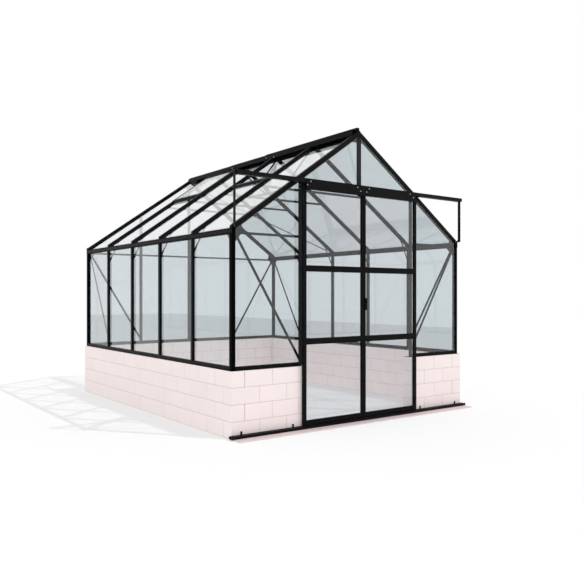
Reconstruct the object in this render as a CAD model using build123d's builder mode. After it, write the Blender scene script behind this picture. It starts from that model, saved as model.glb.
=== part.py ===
"""Gable-roofed glass greenhouse on a brick dwarf wall, with a pair of sliding doors.

Millimetres, +Z up. The origin is the centre of the footprint at ground level. The door
gable faces -Y and the ridge runs along Y. Bars are cut square or mitred and meet face to
face; glass lies between the bars with a small clearance.
"""
from build123d import *
from math import cos, hypot, radians, sin, tan
import os

os.makedirs("parts", exist_ok=True)

# ---- driving dimensions -------------------------------------------------------------
# plan
BAYS = 5
BAY_PITCH = 622.0
PANELS = 4
PANEL_PITCH = 636.0
EDGE = 15.0                 # outer face of the frame to the centre line of the end posts
# dwarf wall
COURSES = 4
COURSE = 128.0
WALL_T = 115.0
SIDE_PROUD = 15.0           # wall face outside the side and back frames
FRONT_PROUD = 25.0          # wall face outside the door gable frame
# heights
EAVE_Z = 1605.0
PITCH = 34.9                # degrees
# bars
POST_W = 32.0
POST_D = 25.0
CORNER = 34.0
SILL_H = 27.0
EAVE_H = 42.0
EAVE_SET = 18.0             # top of the eave rails below the edge of the roof
EAVE_D = 30.0
LIP = 4.0
RAFTER_W = 32.0
RAFTER_D = 25.0
GABLE_RAFTER_D = 36.0
GABLE_POST_D = 12.0
CENTRE_POST_W = 44.0        # post over the header
TIE_H = 20.0
TIE_DROP = 2.0              # underside of the gable ties below the underside of the eave
COLLAR_H = 20.0
COLLAR_T = 12.0
COLLAR_RISE = 455.0         # top of the collars above the eave
# ridge
RIDGE_HALF = 12.0
RIDGE_DROP = 69.0           # underside of the ridge beam below the roof apex
CAP_HALF = 15.0
CAP_IN = 15.0               # ends of the ridge caps inside the gables
CAP_BREAKS = (0.0, 0.451, 0.674, 1.0)      # joints of the ridge cap, as parts of its length
CAP_LIFTS = (28.0, 23.0, 15.0)             # tops of the caps above the roof apex
# braces and gussets
BRACE_W = 22.0
BRACE_T = 3.0
BRACE_INSET = 12.0          # end of a brace from the post it starts at
BRACE_FOOT = 15.0           # end of a brace above the sill
KNEE_T = 4.0
KNEE_W = 22.0
KNEE_DROP = 125.0           # foot of a knee below the underside of the eave
KNEE_REACH = 150.0          # head of a knee inside the frame
GUSSET = 77.0
GUSSET_HEAD = 62.0          # reach of a corner gusset under the rafter
GUSSET_LOW = 55.0           # and along the underside of the tie
GUSSET_FOOT = (15.0, 52.0)  # its lowest corner, in from the post and below the tie
APEX_GUSSET = 88.0
ROOF_BRACE_HEAD = 123.4     # top of the roof brace, out from the ridge line
ROOF_BRACE_TURN = 1.044     # run along the ridge for each unit across
# glass
GLASS_T = 4.0
GLASS_SET = 19.0            # outer face of the bars to the outer face of the glass
GABLE_SET = 4.0             # and in the gables
FIT = 0.3                   # clearance where one piece seats on another
# roof vents
OPEN_BAY = 1
SHUT_BAY = 3
VENT_LAP = 12.0             # vent frame over the bar it shuts on
VENT_BAR = 26.0
VENT_T = 8.0
VENT_TOP = 20.0             # top of the shut vent, out from the ridge line
TRANSOM_OUT = 513.0         # upper edge of the transom, out from the ridge line
TRANSOM_W = 24.0
HANG_LENGTH = 528.0
HANG_ANGLE = 51.8           # degrees below level
HANG_GAP = 4.0              # side of the hanging vent to the bars
STAY_T = 4.0
STAY_W = 12.0
STAY_RISE = 35.0            # far end of the stay above the roof plane
# threshold and tracks
SLAB_T = 8.0
SLAB_REACH = 160.0          # slab in front of the door gable
SLAB_OVER = 22.0            # slab past the frame at each end
TRACK_OVER = 38.0           # bottom track past the frame at each end
TRACK_H = 22.0
TRACK_BACK = 25.0           # back of the tracks in front of the door gable
TRACK_FRONT = 70.0
TRACK_T = 3.0
DOOR_LINE = 47.0            # middle of the doors in front of the door gable
SLOT_W = 18.0
CLIP_W = 16.0
CLIP_T = 4.0
CLIP_H = 24.0
CLIP_OUTER = 70.0           # from the outer face of the frame
CLIP_INNER = 113.0          # from the jamb
HEADER_DROP = 30.0          # top of the header below the roof over the door posts
HEADER_H = 89.0
HEADER_STEP = 20.0          # beam behind the fascia, inside its top and bottom edges
TOP_TRACK_H = 32.0
TOP_SLOT_W = 14.0
TRACK_SHORT = 9.0           # top track inside the frame at each end
FASCIA_T = 3.0
FASCIA_OVER = 10.0          # fascia past the jamb
LUG_W = 40.0
LUG_H = 38.0
LUG_DROP = 22.0
LEG_W = 30.0
LEG_T = 4.0
LEG_OUT = 15.0              # back of a leg in front of the door gable
LEG_FOOT = 16.0
CAP_PLATE = 4.0             # end plates on the eave rails
CAP_PLATE_UP = 7.0
# doors
DOOR_LAP = 30.0             # leaf past the jamb
DOOR_T = 22.0
DOOR_BOTTOM = 36.0
DOOR_CLEAR = 56.0           # top of the doors below the top of the header
STILE_W = 30.0
MEETING_STILE_W = 21.0
BOTTOM_RAIL_H = 36.0
TOP_RAIL_H = 20.0
LOW_RAIL = (684.0, 731.0)
HIGH_RAIL = (1273.0, 1320.0)
MEETING_GAP = 5.0
GUIDE_T = 6.0
GUIDE_DEPTH = 16.0
ROLLER_R = 11.0
ROLLER_T = 9.0
HANGER_T = 4.0
HANGER_W = 26.0
HANGER_IN = 90.0            # middle of a hanger from the edge of the leaf
HANGER_UP = 6.0             # hanger above the middle of its rollers
HANDLE_Z = (953.0, 1056.0)
HANDLE_W = 10.0
HANDLE_OVER = 2.0           # handle past the inner edge of its stile
HANDLE_OUT = 15.0
HANDLE_GRIP = 7.0
HANDLE_FOOT = 12.0

# ---- worked out from them -----------------------------------------------------------
WIDTH = PANELS * PANEL_PITCH + 2 * EDGE
LENGTH = BAYS * BAY_PITCH + 2 * EDGE
WALL_H = COURSES * COURSE
XL = -WIDTH / 2
XR = WIDTH / 2
YF = (SLAB_REACH - LENGTH - SIDE_PROUD) / 2
YB = YF + LENGTH
SLOPE = tan(radians(PITCH))
APEX_Z = EAVE_Z + SLOPE * WIDTH / 2
DEPTH_Z = 1 / cos(radians(PITCH))      # turns a depth square to the roof into a height
STATIONS = [YF + EDGE + i * BAY_PITCH for i in range(BAYS + 1)]
PANEL_LINES = [XL + EDGE + i * PANEL_PITCH for i in range(PANELS + 1)]
JAMB_X = PANEL_PITCH - POST_W / 2      # doorway is between the door posts
SILL_Z = WALL_H + SILL_H
EAVE_TOP = EAVE_Z - EAVE_SET
EAVE_LOW = EAVE_TOP - EAVE_H
TIE_LOW = EAVE_LOW - TIE_DROP
TIE_TOP = TIE_LOW + TIE_H
RIDGE_LOW = APEX_Z - RIDGE_DROP
COLLAR_TOP = EAVE_Z + COLLAR_RISE
HEADER_TOP = EAVE_Z + SLOPE * (WIDTH / 2 - JAMB_X - POST_W) - HEADER_DROP
HEADER_LOW = HEADER_TOP - HEADER_H
BEAM_TOP = HEADER_TOP - HEADER_STEP
BEAM_LOW = HEADER_LOW + HEADER_STEP
DOOR_TOP = HEADER_TOP - DOOR_CLEAR
G0 = GLASS_SET
G1 = GLASS_SET + GLASS_T
GABLE_IN = GABLE_SET + GLASS_T         # outer face of a gable to the back of its glass


def roof_z(x):
    """Height of the outer roof plane over x."""
    return APEX_Z - SLOPE * abs(x)


def under(x, depth):
    """Height over x of a plane that lies a depth below the roof, measured square to it."""
    return roof_z(x) - depth * DEPTH_Z


def block(x0, x1, y0, y1, z0, z1, mode=Mode.ADD):
    """Box between two corners, added to the part that is being built."""
    with Locations(((x0 + x1) / 2, (y0 + y1) / 2, (z0 + z1) / 2)):
        Box(x1 - x0, y1 - y0, z1 - z0, mode=mode)


def slice_xz(points, y0, y1):
    """Plate with an outline in X and Z, from y0 to y1."""
    with BuildSketch(Plane.XZ.offset(-y0)) as outline:
        with BuildLine():
            Polyline(*points, close=True)
        make_face()
    extrude(outline.sketch, amount=-(y1 - y0))


def slice_yz(points, x0, x1):
    """Plate with an outline in Y and Z, from x0 to x1."""
    with BuildSketch(Plane.YZ.offset(x0)) as outline:
        with BuildLine():
            Polyline(*points, close=True)
        make_face()
    extrude(outline.sketch, amount=x1 - x0)


def roof_slice(x0, x1, d0, d1, y0, y1):
    """Piece between two plumb cuts and two depths below the roof plane."""
    outline = [(x0, under(x0, d0)), (x1, under(x1, d0)), (x1, under(x1, d1)), (x0, under(x0, d1))]
    slice_xz(outline, y0, y1)


def strip(start, end, width):
    """Corners of a flat bar between two points."""
    run, rise = end[0] - start[0], end[1] - start[1]
    across = width / 2 / hypot(run, rise)
    dx, dy = -rise * across, run * across
    return [
        (start[0] + dx, start[1] + dy),
        (end[0] + dx, end[1] + dy),
        (end[0] - dx, end[1] - dy),
        (start[0] - dx, start[1] - dy),
    ]


def between(first, lines, half, last):
    """Clear spans between bars centred on lines, from a first face to a last one."""
    edges = [first]
    for line in lines:
        edges += [line - half, line + half]
    edges += [last]
    return list(zip(edges[::2], edges[1::2]))


def save(part, name):
    """Label a finished piece and write its file."""
    part.label = name
    export_step(part, f"parts/{name}.step")


# ---- dwarf wall and threshold -------------------------------------------------------
WALL_XL = XL - SIDE_PROUD
WALL_XR = XR + SIDE_PROUD
WALL_YF = YF - FRONT_PROUD
WALL_YB = YB + SIDE_PROUD

with BuildPart() as wall_left:
    block(WALL_XL, WALL_XL + WALL_T, WALL_YF, WALL_YB, 0, WALL_H)
save(wall_left.part, "wall_left")

with BuildPart() as wall_right:
    block(WALL_XR - WALL_T, WALL_XR, WALL_YF, WALL_YB, 0, WALL_H)
save(wall_right.part, "wall_right")

with BuildPart() as wall_back:
    block(WALL_XL + WALL_T, WALL_XR - WALL_T, WALL_YB - WALL_T, WALL_YB, 0, WALL_H)
save(wall_back.part, "wall_back")

with BuildPart() as wall_front_left:
    block(WALL_XL + WALL_T, -JAMB_X, WALL_YF, WALL_YF + WALL_T, 0, WALL_H)
save(wall_front_left.part, "wall_front_left")

with BuildPart() as wall_front_right:
    block(JAMB_X, WALL_XR - WALL_T, WALL_YF, WALL_YF + WALL_T, 0, WALL_H)
save(wall_front_right.part, "wall_front_right")

with BuildPart() as threshold:
    block(XL - SLAB_OVER, XR + SLAB_OVER, YF - SLAB_REACH, WALL_YF, 0, SLAB_T)
    block(-JAMB_X, JAMB_X, WALL_YF, WALL_YF + WALL_T, 0, SLAB_T)
save(threshold.part, "threshold")

# ---- frame of the walls -------------------------------------------------------------
SIDE_BAYS = between(YF + CORNER, STATIONS[1:-1], POST_W / 2, YB - CORNER)
BACK_PANELS = between(XL + CORNER, PANEL_LINES[1:-1], POST_W / 2, XR - CORNER)
FRONT_PANELS = [BACK_PANELS[0], BACK_PANELS[-1]]

with BuildPart() as corner_posts:
    for x in (XL, XR - CORNER):
        for y in (YF, YB - CORNER):
            block(x, x + CORNER, y, y + CORNER, WALL_H, EAVE_LOW)
save(corner_posts.part, "corner_posts")

with BuildPart() as sill_rails:
    for x in (XL, XR - POST_D):
        block(x, x + POST_D, YF + CORNER, YB - CORNER, WALL_H, SILL_Z)
    block(XL + CORNER, XR - CORNER, YB - POST_D, YB, WALL_H, SILL_Z)
    for x0, x1 in FRONT_PANELS:
        block(x0, x1, YF, YF + POST_D, WALL_H, SILL_Z)
save(sill_rails.part, "sill_rails")

with BuildPart() as side_posts_left:
    for y in STATIONS[1:-1]:
        block(XL, XL + POST_D, y - POST_W / 2, y + POST_W / 2, SILL_Z, EAVE_LOW)
save(side_posts_left.part, "side_posts_left")

with BuildPart() as side_posts_right:
    mirror(side_posts_left.part, about=Plane.YZ)
save(side_posts_right.part, "side_posts_right")

with BuildPart() as eave_rail_left:
    rail_in = XL + EAVE_D
    lip_in = XL + LIP
    slice_xz(
        [
            (XL, EAVE_LOW),
            (rail_in, EAVE_LOW),
            (rail_in, under(rail_in, RAFTER_D)),
            (lip_in, under(lip_in, RAFTER_D)),
            (lip_in, EAVE_TOP),
            (XL, EAVE_TOP),
        ],
        YF,
        YB,
    )
save(eave_rail_left.part, "eave_rail_left")

with BuildPart() as eave_rail_right:
    mirror(eave_rail_left.part, about=Plane.YZ)
save(eave_rail_right.part, "eave_rail_right")

with BuildPart() as eave_end_plates:
    for x in (XL, XR - CORNER):
        for y in (YF - CAP_PLATE, YB):
            block(x, x + CORNER, y, y + CAP_PLATE, TIE_LOW, EAVE_Z + CAP_PLATE_UP)
save(eave_end_plates.part, "eave_end_plates")

# ---- roof frame ---------------------------------------------------------------------
with BuildPart() as ridge_beam:
    block(-RIDGE_HALF, RIDGE_HALF, YF, YB, RIDGE_LOW, APEX_Z)
save(ridge_beam.part, "ridge_beam")

with BuildPart() as ridge_caps:
    cap_run = LENGTH - 2 * CAP_IN
    for start, end, lift in zip(CAP_BREAKS, CAP_BREAKS[1:], CAP_LIFTS):
        y0, y1 = YF + CAP_IN + start * cap_run, YF + CAP_IN + end * cap_run
        block(-CAP_HALF, CAP_HALF, y0, y1 - FIT, APEX_Z + FIT, APEX_Z + lift)
save(ridge_caps.part, "ridge_caps")

RAFTER_FOOT = XL + LIP
RAFTER_HEAD = -RIDGE_HALF

with BuildPart() as rafters_left:
    for y in STATIONS[1:-1]:
        roof_slice(RAFTER_FOOT, RAFTER_HEAD, 0, RAFTER_D, y - RAFTER_W / 2, y + RAFTER_W / 2)
save(rafters_left.part, "rafters_left")

with BuildPart() as rafters_right:
    mirror(rafters_left.part, about=Plane.YZ)
save(rafters_right.part, "rafters_right")


def gable_rafters(y0, y1):
    """Pair of rafters over a gable, deeper inside the eave rail."""
    roof_slice(RAFTER_FOOT, RAFTER_HEAD, 0, RAFTER_D, y0, y1)
    roof_slice(XL + EAVE_D, RAFTER_HEAD, RAFTER_D, GABLE_RAFTER_D, y0, y1)
    mirror(about=Plane.YZ)


with BuildPart() as gable_rafters_front:
    gable_rafters(YF, YF + CORNER)
save(gable_rafters_front.part, "gable_rafters_front")

with BuildPart() as gable_rafters_back:
    gable_rafters(YB - CORNER, YB)
save(gable_rafters_back.part, "gable_rafters_back")

with BuildPart() as collar_ties:
    half_top = (APEX_Z - RAFTER_D * DEPTH_Z - COLLAR_TOP) / SLOPE
    half_low = half_top + COLLAR_H / SLOPE
    for y in STATIONS[1:-1]:
        slice_xz(
            [
                (-half_low, COLLAR_TOP - COLLAR_H),
                (half_low, COLLAR_TOP - COLLAR_H),
                (half_top, COLLAR_TOP),
                (-half_top, COLLAR_TOP),
            ],
            y - COLLAR_T / 2,
            y + COLLAR_T / 2,
        )
save(collar_ties.part, "collar_ties")

# ---- gable posts, ties and header ---------------------------------------------------
with BuildPart() as header_beam:
    block(-JAMB_X, JAMB_X, YF, YF + POST_D, BEAM_LOW, BEAM_TOP)
save(header_beam.part, "header_beam")


FRONT_PLATE = YF + GABLE_POST_D        # back of the posts in the door gable
BACK_PLATE = YB - GABLE_POST_D


def gable_post(x, z0, y0, y1):
    """Gable post centred on x, from z0 up to the rafter."""
    x0, x1 = x - POST_W / 2, x + POST_W / 2
    top0, top1 = under(x0, GABLE_RAFTER_D), under(x1, GABLE_RAFTER_D)
    slice_xz([(x0, z0), (x1, z0), (x1, top1), (x0, top0)], y0, y1)


def centre_post(half, z0, y0, y1):
    """Gable post under the ridge beam, with its head cut round the beam."""
    top, neck = under(half, GABLE_RAFTER_D), under(RIDGE_HALF, GABLE_RAFTER_D)
    slice_xz(
        [
            (-half, z0), (half, z0), (half, top), (RIDGE_HALF, neck), (RIDGE_HALF, RIDGE_LOW),
            (-RIDGE_HALF, RIDGE_LOW), (-RIDGE_HALF, neck), (-half, top),
        ],
        y0,
        y1,
    )


with BuildPart() as gable_posts_front:
    gable_post(-PANEL_PITCH, WALL_H, YF, FRONT_PLATE)
    centre_post(CENTRE_POST_W / 2, BEAM_TOP, YF, FRONT_PLATE)
    gable_post(PANEL_PITCH, WALL_H, YF, FRONT_PLATE)
save(gable_posts_front.part, "gable_posts_front")

with BuildPart() as gable_posts_back:
    gable_post(-PANEL_PITCH, SILL_Z, BACK_PLATE, YB)
    centre_post(POST_W / 2, SILL_Z, BACK_PLATE, YB)
    gable_post(PANEL_PITCH, SILL_Z, BACK_PLATE, YB)
save(gable_posts_back.part, "gable_posts_back")

with BuildPart() as gable_ties:
    for x0, x1 in FRONT_PANELS:
        block(x0, x1, YF + GABLE_IN + FIT, FRONT_PLATE, TIE_LOW, TIE_TOP)
    for x0, x1 in BACK_PANELS:
        block(x0, x1, BACK_PLATE, YB - GABLE_IN - FIT, TIE_LOW, TIE_TOP)
save(gable_ties.part, "gable_ties")

# ---- knees, braces and gussets ------------------------------------------------------
with BuildPart() as knee_braces:
    foot = EAVE_LOW - KNEE_DROP
    head = XL + KNEE_REACH
    bend = (XL + EAVE_D + KNEE_REACH / 4, EAVE_LOW - KNEE_W)
    for y in STATIONS[1:-1]:
        slice_xz(
            [
                (XL + POST_D, foot),
                (bend[0] + KNEE_W / 4, bend[1]),
                (head, under(head, RAFTER_D)),
                (head - KNEE_W, under(head - KNEE_W, RAFTER_D)),
                (bend[0] - KNEE_W / 4, bend[1]),
                (XL + POST_D, foot + 1.5 * KNEE_W),
            ],
            y - KNEE_T / 2,
            y + KNEE_T / 2,
        )
    mirror(about=Plane.YZ)
save(knee_braces.part, "knee_braces")

SIDE_PLATE = XL + POST_D
BRACE_HEAD = TIE_LOW - BRACE_INSET / 2


def outer_braces(y0, y1):
    """Flat bar across the left outer panel of a gable, from the corner top to the post foot."""
    start = (XL + CORNER + BRACE_INSET, BRACE_HEAD)
    end = (PANEL_LINES[1], SILL_Z + BRACE_FOOT)
    slice_xz(strip(start, end, BRACE_W), y0, y1)


def corner_gusset(y0, y1):
    """Plate in the left top corner of a gable."""
    x0 = XL + CORNER
    head = x0 + GUSSET_HEAD
    foot_in, foot_down = GUSSET_FOOT
    slice_xz(
        [
            (x0, TIE_LOW - foot_down),
            (x0, under(x0, GABLE_RAFTER_D)),
            (head, under(head, GABLE_RAFTER_D)),
            (x0 + GUSSET, TIE_TOP),
            (x0 + GUSSET_LOW, TIE_LOW),
            (x0 + foot_in, TIE_LOW - foot_down),
        ],
        y0,
        y1,
    )


def apex_gusset(y0, y1):
    """Plate under the ridge beam, between the gable rafters."""
    outer = under(APEX_GUSSET, GABLE_RAFTER_D)
    inner = under(RIDGE_HALF, GABLE_RAFTER_D)
    slice_xz(
        [
            (-APEX_GUSSET, outer), (-RIDGE_HALF, inner), (-RIDGE_HALF, RIDGE_LOW),
            (RIDGE_HALF, RIDGE_LOW), (RIDGE_HALF, inner), (APEX_GUSSET, outer),
        ],
        y0,
        y1,
    )


with BuildPart() as gable_braces:
    outer_braces(FRONT_PLATE, FRONT_PLATE + BRACE_T)
    outer_braces(BACK_PLATE - BRACE_T, BACK_PLATE)
    mirror(about=Plane.YZ)
save(gable_braces.part, "gable_braces")

with BuildPart() as gable_gussets:
    corner_gusset(FRONT_PLATE + BRACE_T, FRONT_PLATE + 2 * BRACE_T)
    corner_gusset(BACK_PLATE - 2 * BRACE_T, BACK_PLATE - BRACE_T)
    mirror(about=Plane.YZ)
save(gable_gussets.part, "gable_gussets")

with BuildPart() as apex_gussets:
    apex_gusset(FRONT_PLATE, FRONT_PLATE + BRACE_T)
    apex_gusset(BACK_PLATE - BRACE_T, BACK_PLATE)
save(apex_gussets.part, "apex_gussets")


def side_brace(corner_y, post_y, x0, x1):
    """Flat bar across an end bay of a side wall, from the corner top to the post foot."""
    slice_yz(strip((corner_y, BRACE_HEAD), (post_y, SILL_Z + BRACE_FOOT), BRACE_W), x0, x1)


with BuildPart() as side_braces:
    head_back = YB - CORNER - BRACE_INSET
    head_front = YF + CORNER + BRACE_INSET
    side_brace(head_back, STATIONS[-2], SIDE_PLATE, SIDE_PLATE + BRACE_T)
    side_brace(head_back, STATIONS[-2], -SIDE_PLATE - BRACE_T, -SIDE_PLATE)
    side_brace(head_front, STATIONS[1], -SIDE_PLATE - BRACE_T, -SIDE_PLATE)
save(side_braces.part, "side_braces")

with BuildPart() as side_gussets:
    x0 = SIDE_PLATE + BRACE_T
    for y, turn in ((YF + CORNER, 1), (YB - CORNER, -1)):
        slice_yz(
            [(y, EAVE_LOW - GUSSET), (y, EAVE_LOW), (y + turn * GUSSET, EAVE_LOW)],
            x0,
            x0 + BRACE_T,
        )
    mirror(about=Plane.YZ)
save(side_gussets.part, "side_gussets")

with BuildPart() as roof_brace:
    down = Vector(cos(radians(PITCH)), 0, -sin(radians(PITCH)))
    up = Vector(sin(radians(PITCH)), 0, cos(radians(PITCH)))
    under_rafters = Plane(origin=(0, 0, APEX_Z), x_dir=down, z_dir=up).offset(-RAFTER_D)
    foot_x = (XR - EAVE_D) * DEPTH_Z - RAFTER_D * SLOPE
    head_y = YB - CORNER
    head_x = ROOF_BRACE_HEAD * DEPTH_Z - RAFTER_D * SLOPE
    foot_y = head_y - (foot_x - head_x) / DEPTH_Z * ROOF_BRACE_TURN
    with BuildSketch(under_rafters):
        with BuildLine():
            Polyline(
                (foot_x, foot_y),
                (foot_x, foot_y + BRACE_W),
                (head_x + BRACE_W, head_y),
                (head_x, head_y),
                close=True,
            )
        make_face()
    extrude(amount=-BRACE_T)
save(roof_brace.part, "roof_brace")

# ---- tracks -------------------------------------------------------------------------
T_FRONT = YF - TRACK_FRONT
T_BACK = YF - TRACK_BACK
DOOR_Y = YF - DOOR_LINE
TRACK_BASE = SLAB_T
TRACK_TOP = SLAB_T + TRACK_H
TRACK_END = WIDTH / 2 + TRACK_OVER
ARM_END = WIDTH / 2 - TRACK_SHORT

with BuildPart() as bottom_track:
    with BuildSketch(Plane.YZ.offset(-TRACK_END)):
        with Locations(((T_FRONT + T_BACK) / 2, (TRACK_BASE + TRACK_TOP) / 2)):
            Rectangle(T_BACK - T_FRONT, TRACK_H)
        with Locations((DOOR_Y, TRACK_BASE + TRACK_T + TRACK_H / 2)):
            Rectangle(SLOT_W, TRACK_H, mode=Mode.SUBTRACT)
    extrude(amount=2 * TRACK_END)
save(bottom_track.part, "bottom_track")

with BuildPart() as track_clips:
    for x in (XL + CLIP_OUTER, -JAMB_X - CLIP_INNER, JAMB_X + CLIP_INNER, XR - CLIP_OUTER):
        block(x - CLIP_W / 2, x + CLIP_W / 2, T_BACK - CLIP_T, T_BACK, TRACK_TOP, TRACK_TOP + CLIP_H)
save(track_clips.part, "track_clips")

TRACK_IN = T_FRONT + FASCIA_T          # front of the top track, behind the fascia
LIP_LOW = HEADER_TOP - TOP_TRACK_H

with BuildPart() as top_track:
    block(-ARM_END, ARM_END, TRACK_IN, T_BACK, HEADER_TOP - TRACK_T, HEADER_TOP)
save(top_track.part, "top_track")

with BuildPart() as top_track_sides:
    for y in (TRACK_IN, T_BACK - TRACK_T):
        block(-ARM_END, ARM_END, y, y + TRACK_T, LIP_LOW, HEADER_TOP - TRACK_T)
save(top_track_sides.part, "top_track_sides")

with BuildPart() as top_track_lips:
    for y0, y1 in (
        (TRACK_IN + TRACK_T, DOOR_Y - TOP_SLOT_W / 2),
        (DOOR_Y + TOP_SLOT_W / 2, T_BACK - TRACK_T),
    ):
        block(-ARM_END, ARM_END, y0, y1, LIP_LOW, LIP_LOW + TRACK_T)
save(top_track_lips.part, "top_track_lips")

with BuildPart() as header_fascia:
    fascia_end = JAMB_X + FASCIA_OVER
    block(-fascia_end, fascia_end, T_FRONT, T_FRONT + FASCIA_T, HEADER_LOW, HEADER_TOP)
save(header_fascia.part, "header_fascia")

with BuildPart() as header_lugs:
    top = HEADER_TOP - LUG_DROP
    for x in (LUG_W - JAMB_X, 0, JAMB_X - LUG_W):
        block(x - LUG_W / 2, x + LUG_W / 2, T_BACK, YF, top - LUG_H, top)
save(header_lugs.part, "header_lugs")

with BuildPart() as track_legs:
    for x in (-ARM_END - LEG_T, ARM_END):
        block(x, x + LEG_T, YF - LEG_OUT - LEG_W, YF - LEG_OUT, EAVE_Z - LEG_FOOT / 2, HEADER_TOP)
        block(x, x + LEG_T, YF - LEG_OUT, YF - CAP_PLATE, EAVE_Z - LEG_FOOT / 2, EAVE_Z + LEG_FOOT / 2)
save(track_legs.part, "track_legs")

# ---- sliding doors ------------------------------------------------------------------
LEAF_IN = MEETING_GAP / 2
LEAF_OUT = JAMB_X + DOOR_LAP
DOOR_YF = DOOR_Y - DOOR_T / 2
DOOR_YB = DOOR_Y + DOOR_T / 2
LIGHTS = [
    (DOOR_BOTTOM + BOTTOM_RAIL_H, LOW_RAIL[0]),
    (LOW_RAIL[1], HIGH_RAIL[0]),
    (HIGH_RAIL[1], DOOR_TOP - TOP_RAIL_H),
]
HANGER_X = [HANGER_IN - LEAF_OUT, -LEAF_IN - HANGER_IN]
ROLLER_Z = LIP_LOW + TRACK_T + FIT + ROLLER_R

with BuildPart() as left_door_frame:
    block(-LEAF_OUT, -LEAF_IN, DOOR_YF, DOOR_YB, DOOR_BOTTOM, DOOR_TOP)
    for z0, z1 in LIGHTS:
        block(
            -LEAF_OUT + STILE_W, -LEAF_IN - MEETING_STILE_W, DOOR_YF, DOOR_YB, z0, z1, Mode.SUBTRACT
        )
    guide_y = DOOR_Y - GUIDE_T / 2
    block(-LEAF_OUT, -LEAF_IN, guide_y, guide_y + GUIDE_T, DOOR_BOTTOM - GUIDE_DEPTH, DOOR_BOTTOM)
save(left_door_frame.part, "left_door_frame")

with BuildPart() as right_door_frame:
    mirror(left_door_frame.part, about=Plane.YZ)
save(right_door_frame.part, "right_door_frame")

with BuildPart() as left_door_glass:
    x0, x1 = -LEAF_OUT + STILE_W + FIT, -LEAF_IN - MEETING_STILE_W - FIT
    for z0, z1 in LIGHTS:
        block(x0, x1, DOOR_Y - GLASS_T / 2, DOOR_Y + GLASS_T / 2, z0 + FIT, z1 - FIT)
save(left_door_glass.part, "left_door_glass")

with BuildPart() as right_door_glass:
    mirror(left_door_glass.part, about=Plane.YZ)
save(right_door_glass.part, "right_door_glass")

with BuildPart() as left_door_rollers:
    hanger_y = DOOR_Y - HANGER_T / 2
    for x in HANGER_X:
        x0, x1 = x - HANGER_W / 2, x + HANGER_W / 2
        block(x0, x1, hanger_y, hanger_y + HANGER_T, DOOR_TOP, ROLLER_Z + HANGER_UP)
        for start, amount in ((hanger_y, ROLLER_T), (hanger_y + HANGER_T, -ROLLER_T)):
            with BuildSketch(Plane.XZ.offset(-start)):
                with Locations((x, ROLLER_Z)):
                    Circle(ROLLER_R)
            extrude(amount=amount)
save(left_door_rollers.part, "left_door_rollers")

with BuildPart() as right_door_rollers:
    mirror(left_door_rollers.part, about=Plane.YZ)
save(right_door_rollers.part, "right_door_rollers")

with BuildPart() as right_door_handle:
    x0 = LEAF_IN + MEETING_STILE_W + HANDLE_OVER - HANDLE_W
    low, high = HANDLE_Z
    block(x0, x0 + HANDLE_W, DOOR_YF - HANDLE_OUT, DOOR_YF, low, high)
    block(
        x0, x0 + HANDLE_W, DOOR_YF - HANDLE_OUT + HANDLE_GRIP, DOOR_YF,
        low + HANDLE_FOOT, high - HANDLE_FOOT, Mode.SUBTRACT,
    )
save(right_door_handle.part, "right_door_handle")

# ---- roof vents ---------------------------------------------------------------------
TRANSOM_LOW = -TRANSOM_OUT - TRANSOM_W
VENT_FOOT = TRANSOM_LOW - VENT_LAP / 2

with BuildPart() as vent_transoms:
    for bay in (OPEN_BAY, SHUT_BAY):
        roof_slice(TRANSOM_LOW, -TRANSOM_OUT, 0, RAFTER_D, *SIDE_BAYS[bay])
save(vent_transoms.part, "vent_transoms")

SHUT_Y0 = SIDE_BAYS[SHUT_BAY][0] - VENT_LAP
SHUT_Y1 = SIDE_BAYS[SHUT_BAY][1] + VENT_LAP
LIGHT_X0 = VENT_FOOT + VENT_BAR
LIGHT_X1 = -VENT_TOP - VENT_BAR
PANE_DROP = (VENT_T - GLASS_T) / 2     # pane inside the faces of a vent frame

with BuildPart() as shut_vent_frame:
    for y in (SHUT_Y0, SHUT_Y1 - VENT_BAR):
        roof_slice(VENT_FOOT, -VENT_TOP, -VENT_T, -FIT, y, y + VENT_BAR)
    for x0, x1 in ((VENT_FOOT, LIGHT_X0), (LIGHT_X1, -VENT_TOP)):
        roof_slice(x0, x1, -VENT_T, -FIT, SHUT_Y0 + VENT_BAR + FIT, SHUT_Y1 - VENT_BAR - FIT)
save(shut_vent_frame.part, "shut_vent_frame")

with BuildPart() as shut_vent_glass:
    roof_slice(
        LIGHT_X0 + FIT, LIGHT_X1 - FIT, PANE_DROP - VENT_T, -PANE_DROP,
        SHUT_Y0 + VENT_BAR + FIT, SHUT_Y1 - VENT_BAR - FIT,
    )
save(shut_vent_glass.part, "shut_vent_glass")

HANG_COS = cos(radians(HANG_ANGLE))
HANG_SIN = sin(radians(HANG_ANGLE))
HANG_X = -RIDGE_HALF - FIT - VENT_T / 2 * HANG_SIN
HANG_Z = RIDGE_LOW + VENT_T
HANG_Y0 = SIDE_BAYS[OPEN_BAY][0] + HANG_GAP
HANG_Y1 = SIDE_BAYS[OPEN_BAY][1] - HANG_GAP


def hang_point(along, off):
    """Point in X and Z: along the hanging vent from its hinge, and off its middle plane."""
    return (HANG_X - along * HANG_COS - off * HANG_SIN, HANG_Z - along * HANG_SIN + off * HANG_COS)


def hang_slice(s0, s1, half, y0, y1):
    """Piece of the hanging vent from s0 to s1 below its hinge."""
    corners = [hang_point(s0, half), hang_point(s1, half), hang_point(s1, -half), hang_point(s0, -half)]
    slice_xz(corners, y0, y1)


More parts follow.
